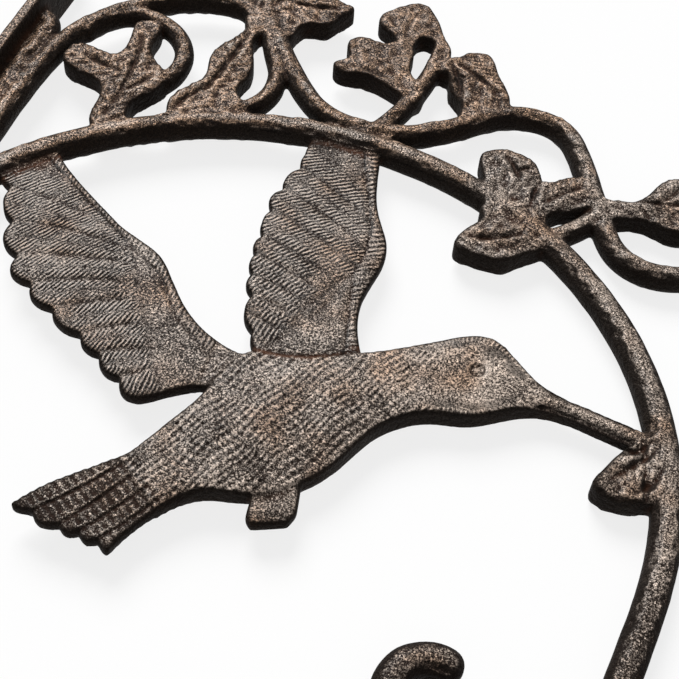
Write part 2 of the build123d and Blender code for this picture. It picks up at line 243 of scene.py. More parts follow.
@dataclass(frozen=True)
class CastIron:
    """Sand-cast iron under a dark brown paint that rubbing has taken down to a dull copper on its raised
    parts, with painted shade on its walls, rims, carved lines and recesses.

    Args:
        wall, top: the colours of the side walls, darker as painted shade, and of the broad faces.
        rub, copper: the colours of the grains that rubbing has bared, and of the warmer ones.
        hollow, rust: the colours in the carved lines and in the recesses where forms meet: a redder paint,
            with painted shade there as well.
        grain, sand: the widths of the coarse and of the fine sand grains, in metres.
        pebble, pebble_depth: the width and the height of the bumps under the paint, in metres.
        patch, mottle, blush: the widths of the small, the large and the warm patches, in metres.
        face_slope, rim_slope: how square a broad face is to the thickness, at a place and round it; the
            less square walls, flanks and rims take painted shade.
        barb_patches, scale_patches, rust_patches: the shades of the patches over which each comes up.
        rub_range, rub_curve: the range over which the rubbing comes up, and the power it rises by.
        wall_rub: the share of the rubbing that the walls keep, which leaves them darker as painted shade.
        warm_range: the shades of the warm patches over which the copper comes up.
        roughness, polish: the paint's roughness, and how much smoother the grains that rubbing has bared
            are.
        shine, gloss: how metallic the grains are, and how glossy the paint is.
        lacquer, lacquer_roughness: how much lacquer keeps on the places with the most rubbing, and how
            rough it is.
        lacquer_range: the range over which it comes up.
    """

    wall: RGB = (0.009, 0.006, 0.0045)
    top: RGB = (0.015, 0.010, 0.0075)
    rub: RGB = (0.58, 0.475, 0.395)
    copper: RGB = (0.56, 0.36, 0.235)
    hollow: RGB = (0.030, 0.016, 0.011)
    rust_and_shade: RGB = (0.085, 0.036, 0.019)
    grain: float = 0.66 * MM
    sand: float = 0.363 * MM
    pebble: float = 1.518 * MM
    pebble_depth: float = 1.0 * MM
    patch: float = 4.05 * MM
    mottle: float = 9.0 * MM
    blush: float = 15.3 * MM
    face_slope: Point = (0.78, 0.99)
    rim_slope: Point = (0.62, 0.9)
    barb_patches: Point = (0.25, 0.6)
    scale_patches: Point = (0.3, 0.65)
    rust_patches: Point = (0.3, 0.6)
    rub_range: Point = (0.39, 0.65)
    rub_curve: float = 1.6
    wall_rub: float = 0.04
    warm_range: Point = (0.42, 0.8)
    roughness: float = 0.7
    polish: float = 0.35
    shine: float = 0.3
    gloss: float = 0.06
    lacquer: float = 0.28
    lacquer_roughness: float = 0.28
    lacquer_range: Point = (0.38, 0.6)

    def face(self, shader: Shader) -> Value:
        """Tells the broad faces from the walls. This mask paints shade: the walls, the bars' flanks and the
        rounded rims come out darker, the broad faces lighter.

        Args:
            shader: the material's builder.
        Returns:
            0 on a wall to 1 on a broad face.
        """
        normal = shader.out(shader.node("ShaderNodeNewGeometry"), "Normal")
        across = shader.out(shader.node("ShaderNodeSeparateXYZ", None, {0: normal}), "Y")
        square = shader.ramp(abs(across), *self.face_slope)
        return square * shader.ramp(shader.attribute("inner"), *self.rim_slope)

    def wave(self, shader: Shader, name: str, shift: Value) -> Value:
        """A wave over one of the mesh's counts, -1 to 1."""
        return shader.maths(Maths.COSINE, FULL_TURN * (shader.attribute(name) + shift))

    def material(self) -> bpy.types.Material:
        """Makes the finish.

        Returns:
            the material.
        """
        made = bpy.data.materials.new("sand_cast_iron")
        made.use_nodes = True
        shader = Shader(made.node_tree)
        place = shader.out(shader.node("ShaderNodeTexCoord"), "Object")
        face = self.face(shader)
        grain = shader.noise(place, self.grain, 3.0, 0.62)
        sand = shader.noise(place, self.sand, 1.0, 0.5)
        cloud = shader.noise(place, self.mottle, 3.0, 0.6)
        patch = shader.noise(place, self.patch, 2.0, 0.5)
        hollow = shader.attribute("hollow")
        recess = shader.attribute("recess")
        crest = shader.attribute("crest")
        tone_by_part = shader.attribute("tone_by_part")
        depth = shader.attribute("barb_depth") * shader.ramp(patch, *self.barb_patches)
        barb = 0.5 + 0.5 * self.wave(shader, "barb", 1.2 * patch)
        scale = self.wave(shader, "row", 0.5 * patch)
        scale = scale * self.wave(shader, "column", -0.4 * patch)
        scale = scale * shader.attribute("down") * shader.ramp(patch, *self.scale_patches)

        # Rubbing and painted shade: each cause with its share
        wear_and_shade = 0.5 * grain + 0.5 * sand + 0.2 * (cloud - 0.5)
        # Painted shade: carved lines, pits and recesses get fewer bright grains, so they come out darker
        wear_and_shade = wear_and_shade + 0.06 * crest - 0.12 * hollow - 0.1 * recess
        wear_and_shade = wear_and_shade + 0.27 * depth * (barb - 0.44) + 0.2 * (tone_by_part - 0.5) + 0.09 * scale
        rub_and_shade = shader.ramp(wear_and_shade, *self.rub_range) ** self.rub_curve
        # Painted shade: the walls keep little of the rubbing, so they come out darker than the broad faces
        rub_and_shade = rub_and_shade * (self.wall_rub + (1.0 - self.wall_rub) * face)

        # Colour
        # Painted shade: darker paint on the walls than on the broad faces
        paint = shader.mix(face, opaque(self.wall), opaque(self.top))
        # Painted shade in the carved lines and pits, with a redder paint there
        paint = shader.mix(hollow * face, paint, opaque(self.hollow))
        # Rusty red in the recesses and along the seams where forms meet; with the fewer bright grains there
        # it is also painted shade
        paint = shader.mix(recess * shader.ramp(cloud, *self.rust_patches), paint, opaque(self.rust_and_shade))
        blush = shader.noise(place, self.blush, 2.0, 0.5)
        warm = shader.ramp(blush + shader.attribute("warmth"), *self.warm_range)
        metal = shader.mix(warm, opaque(self.rub), opaque(self.copper))

        # Bumps
        height = shader.noise(place, self.pebble, 3.0, 0.6)
        height = height + 1.1 * depth * barb + 0.45 * scale
        sockets = {"Height": height, "Distance": self.pebble_depth, "Strength": 1.0}
        bump = shader.out(shader.node("ShaderNodeBump", None, sockets))
        surface = shader.node(
            "ShaderNodeBsdfPrincipled",
            None,
            {
                "Base Color": shader.mix(rub_and_shade, paint, metal),
                "Roughness": self.roughness - self.polish * rub_and_shade,
                "Metallic": self.shine * rub_and_shade,
                "Specular IOR Level": self.gloss,
                "Coat Weight": self.lacquer * face * shader.ramp(wear_and_shade, *self.lacquer_range),
                "Coat Roughness": self.lacquer_roughness,
                "Normal": bump,
            },
        )
        shader.node("ShaderNodeOutputMaterial", None, {"Surface": shader.out(surface)})
        return made


def linked(name: str, data: bpy.types.ID) -> bpy.types.Object:
    """Makes an object and links it into the scene.

    Args:
        name: its name.
        data: its mesh, lamp or camera.
    Returns:
        the object.
    """
    made = bpy.data.objects.new(name, data)
    bpy.context.collection.objects.link(made)
    return made


def mesh_points(mesh: bpy.types.Mesh, name: str = "co") -> np.ndarray:
    """Reads a mesh's points.

    Args:
        mesh: the mesh.
        name: co for the points' places, normal for their normals.
    Returns:
        rows of three numbers.
    """
    flat = np.empty(3 * len(mesh.vertices), np.float32)
    mesh.vertices.foreach_get(name, flat)
    return flat.reshape(-1, 3).astype(float)


def mesh_edges(mesh: bpy.types.Mesh) -> np.ndarray:
    """Reads a mesh's edges.

    Args:
        mesh: the mesh.
    Returns:
        rows of two point numbers.
    """
    flat = np.empty(2 * len(mesh.edges), np.int32)
    mesh.edges.foreach_get("vertices", flat)
    return flat.reshape(-1, 2)


def neighbour_mean(values: np.ndarray, edges: np.ndarray) -> np.ndarray:
    """The mean of each point's neighbours.

    Args:
        values: one row of numbers for each point.
        edges: rows of two point numbers.
    Returns:
        the means, in the shape of values.
    """
    count = len(values)
    share = 1.0 / np.maximum(np.bincount(edges.ravel(), minlength=count), 1)
    columns = []
    for column in values.reshape(count, -1).T:
        total = np.bincount(edges[:, 0], column[edges[:, 1]], count)
        total += np.bincount(edges[:, 1], column[edges[:, 0]], count)
        columns.append(total * share)
    return np.stack(columns, 1).reshape(values.shape)


def relaxed(values: np.ndarray, edges: np.ndarray, rounds: int, pull: float = 0.5) -> np.ndarray:
    """Draws each point towards its neighbours.

    Args:
        values: one row of numbers for each point.
        edges: rows of two point numbers.
        rounds: how often.
        pull: how far, from 0 to 1.
    Returns:
        the smoothed values.
    """
    for _ in range(rounds):
        values = values + pull * (neighbour_mean(values, edges) - values)
    return values


def rise(low: float, high: float, value: np.ndarray) -> np.ndarray:
    """Rises smoothly from 0 at low to 1 at high, or falls where high is the smaller."""
    step = np.clip((value - low) / (high - low), 0.0, 1.0)
    return step * step * (3.0 - 2.0 * step)


def bell(value: np.ndarray, width: float) -> np.ndarray:
    """Is 1 at 0 and dies away over the width."""
    return np.exp(-((value / width) ** 2))


def lumps(points: np.ndarray, size: float) -> np.ndarray:
    """Uneven lumps in space.

    Args:
        points: rows of places in mm.
        size: the lumps' width in mm.
    Returns:
        their height, about -1 to 1.
    """
    return np.array([noise.noise(place) for place in (points / size).tolist()])


class Plan:
    """The points of the casting, seen square to its broad faces."""

    def __init__(self, points: np.ndarray, normals: np.ndarray) -> None:
        """Takes the points' places in plan.

        Args:
            points: rows of places in mm.
            normals: rows of normals.
        """
        self.x = (points[:, 0] - ARM_CENTRE[0]) / GRID
        self.z = (points[:, 2] - ARM_CENTRE[1]) / GRID
        self.level = np.abs(points[:, 1])
        self.face = rise(0.3, 0.6, np.abs(normals[:, 1]))

    def line(self, line: Line) -> tuple[np.ndarray, np.ndarray]:
        """Measures the points against a bowed line that is taken to run on past its ends.

        Args:
            line: its start, its end and the bow of its middle.
        Returns:
            the distance to its left and the distance to the part between its ends, both in mm.
        """
        (x0, z0), (x1, z1), bow = line
        run = math.hypot(x1 - x0, z1 - z0)
        along = ((self.x - x0) * (x1 - x0) + (self.z - z0) * (z1 - z0)) / run**2
        left = ((self.z - z0) * (x1 - x0) - (self.x - x0) * (z1 - z0)) / run
        kept = np.clip(along, 0.0, 1.0)
        left = left - bow * 4.0 * kept * (1.0 - kept)
        return left * GRID, np.hypot(left, (along - kept) * run) * GRID

    def path(self, points: Sequence[Point]) -> np.ndarray:
        """Measures the points against a path of straight runs.

        Args:
            points: the path's corners.
        Returns:
            the distance to its left in mm.
        """
        best = np.full(len(self.x), np.inf)
        left = np.zeros(len(self.x))
        for start, end in zip(points, points[1:]):
            side, away = self.line((start, end, 0.0))
            nearer = away < best
            best = np.where(nearer, away, best)
            left = np.where(nearer, np.copysign(away, side), left)
        return left

    def inside(self, points: Sequence[Point]) -> np.ndarray:
        """Says which points lie inside an outline.

        Args:
            points: the outline's corners.
        Returns:
            True for each point inside.
        """
        found = np.zeros(len(self.x), bool)
        for (x0, z0), (x1, z1) in zip(points, (*points[1:], points[0])):
            crosses = (z0 > self.z) != (z1 > self.z)
            at = x0 + (self.z - z0) * (x1 - x0) / ((z1 - z0) or 1e-9)
            found ^= crosses & (self.x < at)
        return found

    def stripes(self, heading: Union[float, np.ndarray], pitch: float) -> np.ndarray:
        """Counts stripes that run along a heading.

        Args:
            heading: the stripes' direction in degrees, from out along the arm towards up.
            pitch: their spacing in mm.
        Returns:
            the count at each point.
        """
        turn = np.radians(heading)
        return (self.z * np.cos(turn) - self.x * np.sin(turn)) * GRID / pitch


# The width in mm on which a feather's place across is counted beyond the outermost lines
OUTER_FEATHER = 9.0


@dataclass(frozen=True)
class FeatherFan:
    """A fan of feathers, parted by lines from the notches at their tips to the root.

    Args:
        lines: the parting lines, from the lowest to the topmost.
        root: the path along the feathers' roots, with the feathers on its left.
        band: the path along the wing's front band, with the band on its left.
        headings: the barbs' heading in the lowest and in the topmost feather.
        pitch: the barbs' spacing in mm.
        band_heading: the heading of the ticks on the band.
        band_pitch: their spacing in mm.
        feather: a feather's width in mm.
        crown: how far a feather's middle stands over its edges, in mm.
        covert: how far the small feathers at the root stand over the long ones, in mm.
        cut, cut_width: the depth and the width of the cut lines in mm.
        shift: how far each feather's barbs are shifted against the next, in barbs.
        tick_depth, tick_start: how deep the band's ticks are, and where they come up, in mm.
    """

    lines: tuple[Line, ...]
    root: tuple[Point, ...]
    band: tuple[Point, ...]
    headings: tuple[float, float]
    pitch: float
    band_heading: float
    band_pitch: float
    feather: float = 4.5
    crown: float = 0.12
    covert: float = 0.2
    cut: float = 0.09
    cut_width: float = 0.4
    shift: float = 0.37
    tick_depth: float = 0.65
    tick_start: Point = (0.2, 0.8)

    def rows(self, plan: Plan) -> tuple[np.ndarray, np.ndarray]:
        """Finds each point's feather.

        Args:
            plan: the points.
        Returns:
            the feather's number and the place across it from 0 to 1.
        """
        row = np.zeros(len(plan.x), int)
        under = np.full(len(plan.x), OUTER_FEATHER)
        over = np.full(len(plan.x), OUTER_FEATHER)
        for line in self.lines:
            left, _ = plan.line(line)
            row += left > 0
            under = np.where(left > 0, np.minimum(under, left), under)
            over = np.where(left <= 0, np.minimum(over, -left), over)
        return row, under / (under + over)

    def height(self, plan: Plan) -> np.ndarray:
        """The relief of the fan.

        Args:
            plan: the points.
        Returns:
            its height in mm.
        """
        _, across = self.rows(plan)
        feather = self.crown * (1.0 - (2.0 * across - 1.0) ** 2)
        feather = feather - self.cut * bell((across - 0.5) * self.feather, 0.35)
        root = plan.path(self.root)
        band = plan.path(self.band)
        coverts = self.covert * (1.0 - bell(np.minimum(root, 0.0), 2.5))
        coverts = coverts - self.cut * bell(root, self.cut_width)
        height = np.where(root > 0.0, feather - self.cut * bell(root, 0.8), coverts)
        front = self.covert * rise(0.0, 1.2, band) * rise(6.0, 3.0, band)
        return np.where(band > 0.0, front, height) - 0.8 * self.cut * bell(band, self.cut_width)

    def barbs(self, plan: Plan) -> tuple[np.ndarray, np.ndarray]:
        """The fine barbs.

        Args:
            plan: the points.
        Returns:
            the count of barbs at each point, and how deep they are from 0 to 1.
        """
        row, across = self.rows(plan)
        lowest, topmost = self.headings
        heading = lowest + row / len(self.lines) * (topmost - lowest)
        count = plan.stripes(heading, self.pitch) + self.shift * row + 0.5 * (across > 0.5)
        depth = rise(0.0, 0.1, across) * rise(1.0, 0.9, across) * rise(0.2, 1.2, plan.path(self.root))
        depth = depth * (1.0 - 0.8 * bell((across - 0.5) * self.feather, 0.3))
        band = plan.path(self.band)
        ticks = plan.stripes(self.band_heading, self.band_pitch)
        tick_depth = self.tick_depth * rise(*self.tick_start, band)
        on_band = band > self.tick_start[0]
        return np.where(on_band, ticks, count), np.where(on_band, tick_depth, depth)


LEFT_WING = FeatherFan(
    lines=(
        ((-26.2, 4.1), (-18.4, 9.8), 0.3),
        ((-33.4, 9.4), (-21.7, 14.9), 0.4),
        ((-39.8, 13.2), (-25.7, 21.7), 0.5),
        ((-49.0, 18.3), (-29.9, 28.2), 0.7),
        ((-57.4, 24.0), (-32.3, 33.0), 0.9),
        ((-64.5, 31.2), (-34.6, 37.9), 1.2),
        ((-70.5, 41.5), (-37.0, 42.0), 1.6),
        ((-76.5, 52.3), (-44.0, 46.7), 1.6),
    ),
    root=(
        (-14.0, 3.0), (-18.4, 9.8), (-21.7, 14.9), (-25.7, 21.7),
        (-29.9, 28.2), (-34.6, 37.9), (-40.0, 46.0),
    ),
    band=((-70.0, 64.5), (-51.5, 52.0), (-37.0, 42.3), (-28.0, 36.5), (-20.0, 25.5), (-8.0, 17.0)),
    headings=(90.0, 52.0),
    pitch=1.15,
    band_heading=86.0,
    band_pitch=1.4,
)
RIGHT_WING = FeatherFan(
    lines=(
        ((-4.0, 33.0), (7.0, 30.2), -0.3),
        ((-6.4, 38.9), (7.4, 34.8), 0.4),
        ((-8.7, 45.4), (8.7, 40.0), 0.5),
        ((-10.2, 52.0), (10.8, 45.0), 0.6),
        ((-10.6, 58.6), (13.0, 49.2), 0.7),
        ((-11.4, 68.1), (15.0, 56.0), 0.9),
        ((-10.8, 76.2), (15.5, 63.0), 1.0),
        ((-9.1, 85.3), (14.0, 72.0), 1.0),
    ),
    root=((3.0, 24.0), (7.0, 30.2), (7.4, 34.8), (8.7, 40.0), (10.8, 45.0), (14.6, 51.5), (24.0, 58.0)),
    band=(
        (4.0, 101.0), (7.5, 91.0), (12.0, 80.0), (15.4, 70.0),
        (16.6, 61.0), (15.9, 53.0), (17.8, 43.0), (20.5, 30.0),
    ),
    headings=(84.0, 28.0),
    pitch=1.35,
    band_heading=25.0,
    band_pitch=1.8,
)
BETWEEN_WINGS = ((-30.0, 105.0), (-8.0, 40.0), (-1.0, 20.0), (10.0, -10.0))
WING_FOOT = ((0.8, 22.3), (24.5, 31.4), -3.0)


@dataclass(frozen=True)
class Tail:
    """The tail's five feathers, with a row of rungs across each.

    Args:
        lines: the parting lines.
        end: the path across the tail's start, with the tail on its right.
        heading: the rungs' heading.
        pitch: the rungs' spacing in mm.
        rung: how far the rungs stand up, in mm.
        ridge: how far the thin ridge beside each parting line stands up, in mm.
    """

    lines: tuple[Line, ...] = (
        ((-13.8, -36.3), (-3.7, -20.2), -0.3),
        ((-18.3, -35.8), (-9.0, -21.0), -0.3),
        ((-22.8, -35.6), (-13.2, -19.7), -0.3),
        ((-29.4, -34.2), (-15.7, -16.7), -0.4),
    )
    end: tuple[Point, ...] = ((-20.0, -10.0), (-13.0, -17.5), (-6.0, -20.0), (4.0, -19.0))
    heading: float = -38.0
    pitch: float = 2.3
    rung: float = 0.24
    ridge: float = 0.45

    def height(self, plan: Plan) -> np.ndarray:
        """The relief of the tail.

        Args:
            plan: the points.
        Returns:
            its height in mm.
        """
        height = self.rung * np.cos(FULL_TURN * plan.stripes(self.heading, self.pitch))
        for line in self.lines:
            left, away = plan.line(line)
            edge = self.ridge * bell(left - 0.45, 0.4) - 0.25 * bell(left + 0.5, 0.5)
            height = height * (1.0 - bell(away, 0.9)) + edge * (away < 2.5)
        return height * rise(-1.0, 2.0, self.mask(plan))

    def mask(self, plan: Plan) -> np.ndarray:
        """The distance from the tail's start in mm, more than 0 on the tail."""
        return -plan.path(self.end)


@dataclass(frozen=True)
class BirdBody:
    """The bird's body with its rows of scales, its eye, the ridge of its beak and a wing's foot.

    Args:
        outline: the body's outline.
        level: the height over which its faces lie, in mm.
        spacing: the spacing of the scales in mm.
        heading, slant: the heading of their rows, and the angle from there to the columns.
        sway: how far rows and columns sway, in scales.
        scale, scale_end: the scales' height in mm, and the places along the neck where they end.
        eye, eye_line: where the eye is, and the width of the lines round it in mm.
        crown: the point that the ticks round the head turn about.
        tick, tick_radius: the ticks' spacing, and the distance from that point where it holds, in mm.
        tick_depth: how deep they are, from 0 to 1.
        beak: the line along the beak.
        foot, foot_level: the line where the body steps down to the right wing, and the height there.
    """

    outline: tuple[Point, ...] = (
        (-21.0, -20.0), (-13.5, -10.5), (-6.5, 4.0), (-10.0, 12.0), (-4.0, 22.0), (25.0, 29.5),
        (43.0, 40.2), (52.0, 43.8), (60.0, 39.0), (66.0, 34.6), (66.0, 26.8), (54.0, 20.2), (44.0, 17.8),
        (35.0, 11.0), (30.5, 3.0), (21.0, -10.5), (12.0, -15.8), (-1.0, -21.0), (-4.0, -25.5),
    )
    level: float = 2.0
    spacing: float = 2.9
    heading: float = 20.0
    slant: float = 87.0
    sway: float = 0.25
    scale: float = 0.12
    scale_end: Point = (46.0, 34.0)
    eye: Point = (51.7, 32.8)
    eye_line: float = 0.6
    crown: Point = (49.0, 31.0)
    tick: float = 1.25
    tick_radius: float = 14.0
    tick_depth: float = 0.6
    beak: Line = ((66.0, 30.5), (93.0, 26.3), 0.6)
    foot: Line = WING_FOOT
    foot_level: float = 1.9

    def height(self, plan: Plan) -> np.ndarray:
        """The relief of the body.

        Args:
            plan: the points.
        Returns:
            its height in mm.
        """
        row, column, depth = self.scales(plan)
        scales = self.scale * depth * np.cos(FULL_TURN * row) * np.cos(FULL_TURN * column)
        ring = np.hypot(plan.x - self.eye[0], plan.z - self.eye[1]) * GRID
        eye = -0.28 * bell(ring - 1.5, self.eye_line) + 0.12 * bell(ring - 2.8, self.eye_line)
        _, beak = plan.line(self.beak)
        ridge = 0.3 * bell(beak, 0.5) - 0.9 * rise(0.6, 3.2, beak)
        left, _ = plan.line(self.foot)
        under_wing = rise(-0.3, 0.8, left) * (plan.x > self.foot[0][0]) * (plan.x < self.foot[1][0])
        step = under_wing * np.maximum(plan.level - self.foot_level, 0.0)
        return scales + eye - step + ridge * rise(61.0, 70.0, plan.x)

    def scales(self, plan: Plan) -> tuple[np.ndarray, np.ndarray, np.ndarray]:
        """The rows of small scales.

        Args:
            plan: the points.
        Returns:
            the counts of rows and of columns at each point, and how deep the scales are from 0 to 1.
        """
        row = plan.stripes(self.heading, self.spacing) + self.sway * np.sin(0.37 * plan.x + 0.23 * plan.z)
        column = plan.stripes(self.heading + self.slant, self.spacing)
        column = column + self.sway * np.sin(0.29 * plan.z - 0.41 * plan.x)
        return row, column, rise(*self.scale_end, plan.x) * plan.inside(self.outline)

    def ticks(self, plan: Plan) -> tuple[np.ndarray, np.ndarray]:
        """The short ticks round the head's rim.

        Args:
            plan: the points.
        Returns:
            the count of ticks at each point, and how deep they are from 0 to 1.
        """
        x, z = self.crown
        rim = np.abs(plan.path((*self.outline, self.outline[0])))
        turn = np.arctan2(plan.z - z, plan.x - x)
        depth = self.tick_depth * rise(3.0, 0.8, rim) * rise(30.0, 40.0, plan.x) * rise(68.0, 62.0, plan.x)
        return turn * self.tick_radius / self.tick, depth * plan.face * (plan.level > self.level)


@dataclass(frozen=True)
class Foliage:
    """The leaves with their veins.

    Args:
        veins: the veins' lines.
        depth: the depth of a vein in mm.
        swell: how far a leaf swells beside its veins, in mm.
        branch: the angle of the small ribs to their vein, in degrees.
        pitch: the spacing of the small ribs in mm.
        rib: how far they stand up, in mm.
        creases: the lines where a leaf dips beside the bar that carries it.
        crease: their depth in mm.
    """

    veins: tuple[Line, ...] = (
        ((-63.5, 83.0), (-66.5, 119.0), -1.8),
        ((-66.0, 102.5), (-80.0, 107.0), 0.6),
        ((-63.5, 95.0), (-57.0, 104.0), -0.5),
        ((-43.0, 97.0), (-38.9, 131.0), -0.8),
        ((-46.8, 94.0), (-41.5, 104.0), 0.9),
        ((-36.0, 146.0), (-27.0, 161.0), 0.9),
        ((-33.0, 150.0), (-18.0, 151.5), -0.7),
        ((20.0, 138.0), (25.5, 125.0), 0.8),
        ((22.0, 139.0), (35.0, 130.0), 0.7),
        ((76.0, 100.5), (98.0, 104.5), 0.7),
        ((85.0, 103.5), (89.5, 112.0), -0.4),
        ((43.8, 105.5), (48.0, 98.0), 0.4),
        ((46.3, 101.5), (50.5, 104.5), 0.3),
        ((53.6, 101.0), (52.5, 90.0), -0.5),
        ((55.5, 92.5), (64.0, 101.5), 0.4),
        ((40.0, 74.0), (52.5, 79.5), -0.9),
        ((95.0, 25.0), (85.0, 12.5), 0.6),
        ((97.0, 19.0), (91.5, 11.0), 0.4),
        ((93.0, 26.0), (88.0, 20.5), 0.3),
    )
    depth: float = 0.3
    swell: float = 0.35
    branch: float = 48.0
    pitch: float = 2.1
    rib: float = 0.13
    creases: tuple[Line, ...] = (
        ((94.6, 8.0), (91.0, 27.0), -0.5),
        ((62.0, 71.0), (66.5, 67.5), -0.1),
        ((-63.0, 71.0), (-56.0, 76.5), 0.3),
    )
    crease: float = 1.0

    def height(self, plan: Plan) -> np.ndarray:
        """The relief of the leaves.

        Args:
            plan: the points.
        Returns:
            its height in mm.
        """
        near = np.full(len(plan.x), np.inf)
        ribs = np.zeros(len(plan.x))
        for vein in self.veins:
            (x0, z0), (x1, z1), _ = vein
            left, away = plan.line(vein)
            heading = math.degrees(math.atan2(z1 - z0, x1 - x0))
            slant = np.where(left > 0.0, heading + self.branch, heading - self.branch)
            ribs = np.where(away < near, np.cos(FULL_TURN * plan.stripes(slant, self.pitch)), ribs)
            near = np.minimum(near, away)
        ribs = self.rib * ribs * rise(0.4, 1.4, near) * rise(9.0, 5.0, near)
        height = self.swell * bell(near - 2.2, 1.3) - self.depth * bell(near, 0.5) + ribs
        for crease in self.creases:
            height = height - self.crease * bell(plan.line(crease)[1], 1.0)
        return height


@dataclass(frozen=True)
class Carving:
    """All the relief of the casting, the same on both faces.

    Args:
        left, right, tail, body, foliage: its forms.
        seams: the lines where the wings meet the body and the arm.
        seam_width: the width of the rusty red and painted shade along them in mm.
        wing_levels, leaf_levels: the height ranges of the wings' and of the leaves' faces in mm.
        wing_fade, leaf_fade, fade: the heights over which each starts and both end, in mm.
        wing_limits, left_limit: how far out and up the wings reach, and how far out the left one does.
        tail_level: the height under which the tail's faces lie, in mm.
        tail_span, tail_limit: where the tail starts and ends going out, and how far up it reaches.
        beak_start, beak_rise: where the beak starts going out, and its range going up.
        arm_inside, leaf_radius: the radii inside which the beak and outside which the leaves lie.
        high_range, high_lean: the range in which the upper vine starts, and its growth going out.
    """

    left: FeatherFan = LEFT_WING
    right: FeatherFan = RIGHT_WING
    tail: Tail = field(default_factory=Tail)
    body: BirdBody = field(default_factory=BirdBody)
    foliage: Foliage = field(default_factory=Foliage)
    seams: tuple[Line, ...] = (
        WING_FOOT,
        ((-10.5, 94.0), (6.5, 95.0), 0.8),
        ((-80.0, 50.5), (-67.0, 67.0), 0.8),
    )
    seam_width: float = 1.0
    wing_levels: Point = (0.4, 2.3)
    leaf_levels: Point = (2.7, 4.0)
    wing_fade: float = 0.5
    leaf_fade: float = 0.4
    fade: float = 0.3
    wing_limits: Point = (30.0, 105.0)
    left_limit: float = -8.0
    tail_level: float = 2.6
    tail_span: Point = (-40.0, 2.0)
    tail_limit: float = -14.0
    beak_start: float = 60.0
    beak_rise: Point = (22.0, 36.0)
    arm_inside: float = 94.0
    leaf_radius: float = 70.0
    high_range: Point = (70.0, 120.0)
    high_lean: float = 0.45

    def between(self, plan: Plan, levels: Point, start: float) -> np.ndarray:
        """How surely each point is on a broad face in a height range, from 0 to 1."""
        low, high = levels
        return plan.face * rise(low, low + start, plan.level) * rise(high, high - self.fade, plan.level)

    def zones(self, plan: Plan) -> dict[str, np.ndarray]:
        """Shares the broad faces out among the forms.

        Args:
            plan: the points.
        Returns:
            how much each form has of each point, from 0 to 1.
        """
        wing = self.between(plan, self.wing_levels, self.wing_fade) * (plan.z > 0.0)
        wing = wing * (plan.x < self.wing_limits[0]) * (plan.z < self.wing_limits[1])
        right = plan.path(BETWEEN_WINGS) > 0.0
        tail = self.tail.mask(plan) > 0.0
        behind = (plan.x > self.tail_span[0]) & (plan.x < self.tail_span[1]) & (plan.z < self.tail_limit)
        down = plan.inside(self.body.outline)
        away = np.hypot(plan.x, plan.z)
        beak = (plan.z > self.beak_rise[0]) & (plan.z < self.beak_rise[1])
        beak = beak & (plan.x > self.beak_start) & (away < self.arm_inside)
        leaf = self.between(plan, self.leaf_levels, self.leaf_fade)
        return {
            "left": wing * ~right * (plan.x < self.left_limit),
            "right": wing * right,
            "tail": plan.face * tail * behind * (plan.level < self.tail_level),
            "body": plan.face * ~tail * (down | beak),
            "leaf": leaf * ~down * (away > self.leaf_radius),
        }

    def rust_and_shade(self, plan: Plan) -> np.ndarray:
        """How much rusty red and painted shade each place takes where the wings meet the body and the arm,
        from 0 to 1.
        """
        away = np.min([plan.line(seam)[1] for seam in self.seams], axis=0)
        return bell(away, self.seam_width) * (plan.level < 2.9)

    def high(self, plan: Plan) -> np.ndarray:
        """How surely each place is on the upper part of the vine, from 0 to 1."""
        return rise(*self.high_range, plan.z - self.high_lean * plan.x)

    def tone_by_part(self, plan: Plan) -> np.ndarray:
        """How much lighter or darker each place is made: each form with its share.

        Args:
            plan: the points.
        Returns:
            0 for darker to 1 for lighter.
        """
        zones = self.zones(plan)
        head = bell(np.hypot(plan.x - 50.0, plan.z - 31.0), 22.0)
        tail = rise(-3.0, 9.0, self.tail.mask(plan)) * (plan.z < 0.0)
        wings = zones["left"] + zones["right"]
        # Lighter on the head; darker on the wings, the upper vine, the leaves and most of all the tail
        return 0.5 + 0.18 * head - 0.1 * wings - 0.04 * self.high(plan) - 0.02 * zones["leaf"] - 0.24 * tail

    def warmth(self, plan: Plan) -> np.ndarray:
        """How much warmer than elsewhere each place is: most of all the upper leaves."""
        return (0.16 + 0.24 * self.zones(plan)["leaf"]) * self.high(plan)

    def height(self, plan: Plan) -> np.ndarray:
        """The whole relief in mm.

        Args:
            plan: the points.
        Returns:
            how far each point moves out from the parting plane.
        """
        zones = self.zones(plan)
        forms = {
            "left": self.left,
            "right": self.right,
            "tail": self.tail,
            "body": self.body,
            "leaf": self.foliage,
        }
        return sum(zones[name] * form.height(plan) for name, form in forms.items())

    def barbs(self, plan: Plan) -> tuple[np.ndarray, np.ndarray]:
        """The fine barbs of both wings and the ticks round the head.

        Args:
            plan: the points.
        Returns:
            the count of barbs at each point, and how deep they are from 0 to 1.
        """
        zones = self.zones(plan)
        count, depth = self.left.barbs(plan)
        right_count, right_depth = self.right.barbs(plan)
        on_right = zones["right"] > 0.0
        depth = np.where(on_right, right_depth * zones["right"], depth * zones["left"])
        count = np.where(on_right, right_count, count)
        ticks, tick_depth = self.body.ticks(plan)
        on_head = tick_depth > 0.0
        return np.where(on_head, ticks, count), np.where(on_head, tick_depth, depth)


